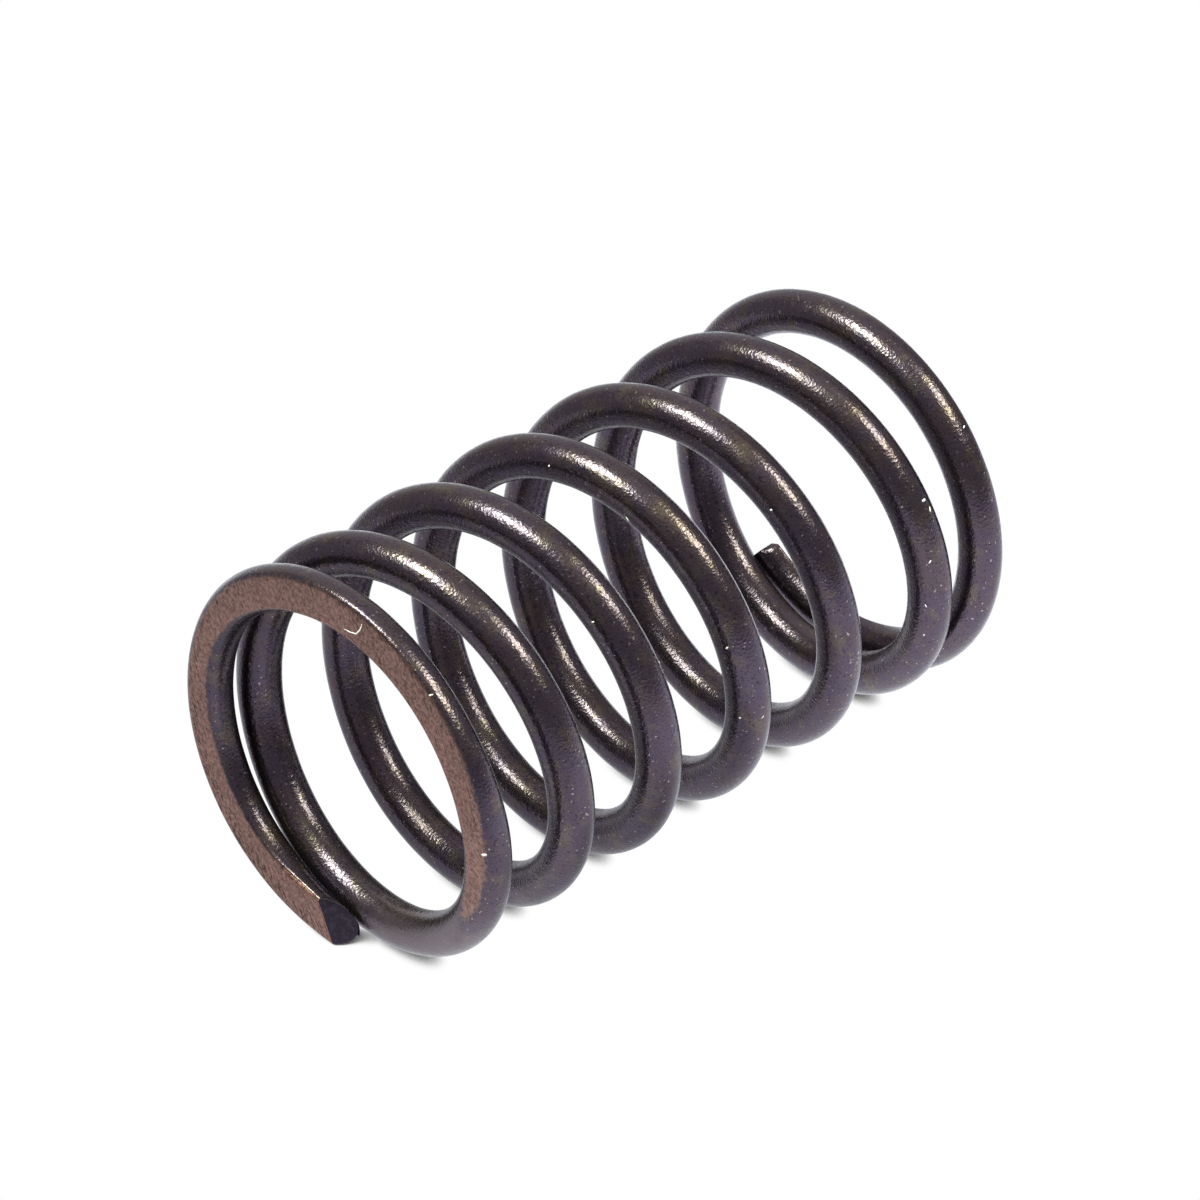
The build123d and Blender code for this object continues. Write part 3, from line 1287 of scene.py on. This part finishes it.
class Surround:
    """Directions about a level: its normal, toward the camera and to the right."""

    def __init__(self, camera: PhotoCamera, normal: Spot) -> None:
        """Work out the directions.

        Args:
            camera: The photograph's camera.
            normal: The level's normal.
        """
        self.normal = Vector(normal).normalized()
        right, _, back = camera.axes()
        self.front = (back - self.normal * back.dot(self.normal)).normalized()
        side = right - self.normal * right.dot(self.normal)
        self.right = (side - self.front * side.dot(self.front)).normalized()

    def way(self, bearing: float, height: float) -> Vector:
        """Give a direction.

        Args:
            bearing: Angle from the camera's side towards the right.
            height: Angle above the level.

        Returns:
            The direction.
        """
        across = self.front * math.cos(math.radians(bearing)) + self.right * math.sin(math.radians(bearing))
        return across * math.cos(math.radians(height)) + self.normal * math.sin(math.radians(height))


@dataclass(frozen=True)
class SoftLamp:
    """A round soft lamp aimed at the middle of the spring."""

    name: str
    bearing: float
    height: float
    radiance: float
    width_angle: float
    colour: Spot
    distance: float = 500.0

    def build(self, target: Vector, surround: Surround) -> None:
        """Add the lamp.

        Args:
            target: Point that it faces, in millimetres.
            surround: Directions about the studio.
        """
        way = surround.way(self.bearing, self.height)
        size = 2.0 * self.distance * math.tan(math.radians(self.width_angle / 2.0)) * MM
        data = bpy.data.lights.new(self.name, "AREA")
        data.shape = "DISK"
        data.size = size
        data.color = self.colour
        area = math.pi * (size / 2.0) ** 2
        # An even disk of this radiance sends out pi times its area of power.
        data.energy = self.radiance * math.pi * area
        lamp = set_in_scene(self.name, data)
        turned = way.to_track_quat("Z", "Y").to_matrix().to_4x4()
        lamp.matrix_world = Matrix.Translation((target + way * self.distance) * MM) @ turned
        lamp.visible_camera = False


@dataclass(frozen=True)
class PaintedPool:
    """A round patch of painted light or painted shadow on the table, brighter or darker than the rest."""

    front: float
    right: float
    width: float
    gain: float = 1.0

    def strength(self, front: float, right: float) -> float:
        """Give how much of the pool is left at a place."""
        away = ((front - self.front) ** 2 + (right - self.right) ** 2) / self.width**2
        return self.gain * math.exp(-away)


@dataclass(frozen=True)
class Studio:
    """The pale table beside the spring with painted contact shadows, grey walls that only reflections show,
    lamps and sky.
    """

    # The table leans a little from the studio's own level, so that it clears the near tip.
    studio_normal: Spot = (-0.9986, -0.0521, -0.0063)
    table_normal: Spot = (-0.9903, -0.1392, 0.0)
    table_gap: float = 10.41
    table_reach: float = 600.0
    table_steps: int = 28
    # Painted light on the table as the wire reflects it: how bright it looks far off, to the sides, behind
    # and near the spring, where a painted pool of lamp light lies.
    far_tone: float = 0.2
    side_gain: float = 0.5
    side_turn: Span = (12.0, 40.0)
    back_gain: float = 0.8
    back_turn: Span = (130.0, 165.0)
    near_tone: float = 1.3
    right_lean: float = 0.26
    lean_reach: Span = (2.0, 14.0)
    painted_lamp_pool: PaintedPool = PaintedPool(-20.0, 30.0, 120.0)
    # Painted patches: those that darken are painted shadows of the spring on the table, those that brighten
    # are painted pools of light.
    painted_patches: tuple[PaintedPool, ...] = (
        PaintedPool(-130.0, -80.0, 120.0, 1.6),
        PaintedPool(0.0, -9.0, 12.0, -0.4),
        PaintedPool(-10.0, 1.0, 10.0, -0.4),
        PaintedPool(11.0, 3.0, 5.5, -0.5),
        PaintedPool(19.0, -10.0, 9.0, 0.5),
        PaintedPool(28.0, 12.0, 10.0, 0.35),
    )
    # Painted contact shadow: how dark the table looks to the camera, close under the wire.
    contact_reach: float = 1.1
    contact_shade: Ramp = Ramp(0.45, 0.76, 0.08, 1.0)
    contact_samples: int = 12
    shade_way: Span = (-79.0, 38.0)
    table_tint: Colour = (0.97, 1.0, 1.07, 1.0)
    # The walls go round from one bearing to another, in rows of these heights.
    wall_distance: float = 700.0
    wall_ends: Span = (-150.0, 165.0)
    wall_columns: int = 44
    wall_heights: range = range(-6, 85, 6)
    wall_tone: float = 0.36
    side_tone: float = 0.46
    side_bearings: Span = (60.0, 110.0)
    pale_heights: Span = (36.0, 66.0)
    end_fade: Span = (0.0, 18.0)
    warm_share: Ramp = Ramp(0.4, 0.9)
    cool: Colour = (1.04, 0.98, 1.08, 1.0)
    warm: Colour = (1.06, 1.0, 0.84, 1.0)
    sky_on_object: float = 0.45
    lamps: tuple[SoftLamp, ...] = (
        SoftLamp("lamp_left", -79.0, 59.0, 40.0, 24.0, (0.87, 1.0, 0.78)),
        SoftLamp("lamp_right", 80.0, 50.0, 27.0, 21.0, (0.92, 1.0, 0.7)),
    )

    def sheet(
        self, name: str, rows: list[list[Vector]], tones: list[list[float]], material: bpy.types.Material
    ) -> bpy.types.Object:
        """Add a stage sheet from a grid of points, with a tone at each point.

        Args:
            name: Name of the object.
            rows: Points in millimetres, row by row.
            tones: Tone at each point.
            material: Its material.

        Returns:
            The sheet's object.
        """
        wide = len(rows[0])
        faces = []
        for low in range(len(rows) - 1):
            for index in range(wide - 1):
                first = low * wide + index
                faces.append((first, first + wide, first + wide + 1, first + 1))
        mesh = bpy.data.meshes.new(name)
        mesh.from_pydata([tuple(p * MM) for row in rows for p in row], [], faces)
        tone = mesh.attributes.new("tone", "FLOAT", "POINT")
        tone.data.foreach_set("value", [t for row in tones for t in row])
        mesh.materials.append(material)
        made = set_in_scene(name, mesh)
        LOG.info("%s: %d faces", name, len(faces))
        return made

    def painted_table_light(self, front: float, right: float) -> float:
        """Give how bright the table looks in the wire, with its painted light and shadow.

        Args:
            front: Distance in front of the spring.
            right: Distance to the right of it.

        Returns:
            The tone at that place, where 1 is white.
        """
        reach = math.hypot(front, right)
        bearing = abs(math.degrees(math.atan2(right, front)))
        side = self.side_gain * eased(bearing, self.side_turn)
        back = self.back_gain * eased(bearing, self.back_turn)
        far = self.far_tone * (1.0 + side + back)
        lean = self.right_lean * right / max(reach, 1.0) * eased(reach, self.lean_reach)
        near = self.near_tone * (1.0 + lean)
        tone = far + (near - far) * self.painted_lamp_pool.strength(front, right)
        for pool in self.painted_patches:
            tone *= 1.0 + pool.strength(front, right)
        return tone

    def table(self, middle: Vector, surround: Surround, level: Surround) -> None:
        """Add the table, whose tone in reflections carries painted light and shadow, brightest near the
        spring.

        Args:
            middle: Middle of the spring.
            surround: Directions about the studio, which the light comes by.
            level: Directions about the leaning table.
        """
        foot = Vector((0.0, 0.0, middle.z)) - level.normal * self.table_gap
        shares = [n / self.table_steps for n in range(-self.table_steps, self.table_steps + 1)]
        steps = [math.copysign(self.table_reach * share**2, share) for share in shares]
        rows = [[foot + level.front * front + level.right * right for right in steps] for front in steps]
        tones = [[self.painted_table_light(front, right) for right in steps] for front in steps]
        self.sheet("table", rows, tones, self.table_material(surround.way(*self.shade_way)))

    def grey(self, bearing: float, height: float) -> float:
        """Give the wall's tone.

        Args:
            bearing: Angle from the camera's side towards the right.
            height: Angle above the table.

        Returns:
            The tone, which is paler at the sides and the top and white at the wall's ends.
        """
        first, last = self.wall_ends
        low = self.wall_tone + (self.side_tone - self.wall_tone) * eased(abs(bearing), self.side_bearings)
        grey = low + (1.0 - low) * eased(height, self.pale_heights)
        return 1.0 + (grey - 1.0) * eased(min(bearing - first, last - bearing), self.end_fade)

    def wall(self, middle: Vector, surround: Surround) -> None:
        """Add the grey walls round the front and sides, paler towards the top.

        Args:
            middle: Middle of the spring.
            surround: Directions about the studio.
        """
        first, last = self.wall_ends
        count = self.wall_columns
        bearings = [first + (last - first) * n / count for n in range(count + 1)]
        foot = middle - surround.normal * self.table_gap
        rows = []
        tones = []
        for height in self.wall_heights:
            up = self.wall_distance * math.tan(math.radians(height))
            ways = [surround.way(bearing, 0.0) for bearing in bearings]
            rows.append([foot + way * self.wall_distance + surround.normal * up for way in ways])
            tones.append([self.grey(bearing, height) for bearing in bearings])
        wall = self.sheet("grey_wall", rows, tones, self.wall_material())
        wall.visible_camera = False
        wall.visible_shadow = False

    def table_material(self, lit_from: Vector) -> bpy.types.Material:
        """Make a white table with painted contact shadows, clear from behind.

        Args:
            lit_from: Direction that the light on the table comes from.

        Returns:
            The material.
        """
        g = Graph("table_white")
        seen = g.node("ShaderNodeLightPath", {}, {}).outputs["Is Camera Ray"]
        facing = g.node("ShaderNodeCombineXYZ", {}, dict(zip("XYZ", lit_from))).outputs["Vector"]
        inputs = {"Distance": self.contact_reach * MM, "Normal": facing}
        near = g.node("ShaderNodeAmbientOcclusion", {"samples": self.contact_samples}, inputs)
        # Painted shadow: the glow that the camera sees darkens where the wire blocks the way towards the
        # lit side.
        shade = g.spread(near.outputs["AO"], self.contact_shade)
        level = g.node("ShaderNodeMix", {}, {"Factor": seen, "A": g.tag("tone"), "B": shade})
        inputs = {"Color": g.blend(seen, self.table_tint, WHITE), "Strength": level.outputs["Result"]}
        glow = g.node("ShaderNodeEmission", {}, inputs)
        clear = g.node("ShaderNodeBsdfTransparent", {}, {})
        back = g.node("ShaderNodeNewGeometry", {}, {}).outputs["Backfacing"]
        sided = g.node("ShaderNodeMixShader", {}, {0: back, 1: glow.outputs[0], 2: clear.outputs[0]})
        g.glow_only(sided.outputs[0])
        return g.material

    def wall_material(self) -> bpy.types.Material:
        """Make the walls' material, which is cool where it is grey and warm where it is pale.

        Returns:
            The material.
        """
        g = Graph("wall_grey")
        tone = g.tag("tone")
        inputs = {"Color": g.blend(g.spread(tone, self.warm_share), self.cool, self.warm), "Strength": tone}
        g.glow_only(g.node("ShaderNodeEmission", {}, inputs).outputs[0])
        return g.material

    def sky(self) -> None:
        """Make the world white where it is seen, and softer where it lights."""
        world = bpy.data.worlds.new("soft_sky")
        world.use_nodes = True
        tree = world.node_tree
        path = tree.nodes.new("ShaderNodeLightPath")
        seen = path.outputs["Is Camera Ray"]
        for ray in ("Is Glossy Ray", "Is Transmission Ray"):
            either = tree.nodes.new("ShaderNodeMath")
            either.operation = "MAXIMUM"
            tree.links.new(seen, either.inputs[0])
            tree.links.new(path.outputs[ray], either.inputs[1])
            seen = either.outputs[0]
        level = tree.nodes.new("ShaderNodeMapRange")
        level.inputs["To Min"].default_value = self.sky_on_object
        level.inputs["To Max"].default_value = 1.0
        tree.links.new(seen, level.inputs["Value"])
        tree.links.new(level.outputs["Result"], tree.nodes["Background"].inputs["Strength"])
        tree.nodes["Background"].inputs["Color"].default_value = WHITE
        bpy.context.scene.world = world

    def build(self, camera: PhotoCamera) -> None:
        """Add the table, the walls, the lamps and the sky.

        Args:
            camera: The photograph's camera.
        """
        middle = Vector(camera.target)
        surround = Surround(camera, self.studio_normal)
        self.table(middle, surround, Surround(camera, self.table_normal))
        self.wall(middle, surround)
        for lamp in self.lamps:
            lamp.build(middle, surround)
            LOG.info("%s: lamp", lamp.name)
        self.sky()


def main() -> None:
    """Load the frame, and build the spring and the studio."""
    logging.basicConfig(level=logging.INFO, format="%(name)s: %(message)s")
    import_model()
    camera = PhotoCamera()
    camera.build()
    ValveSpring().build(camera)
    Studio().build(camera)
    scene = bpy.context.scene
    scene.view_settings.view_transform = "Standard"


if __name__ == "__main__":
    main()
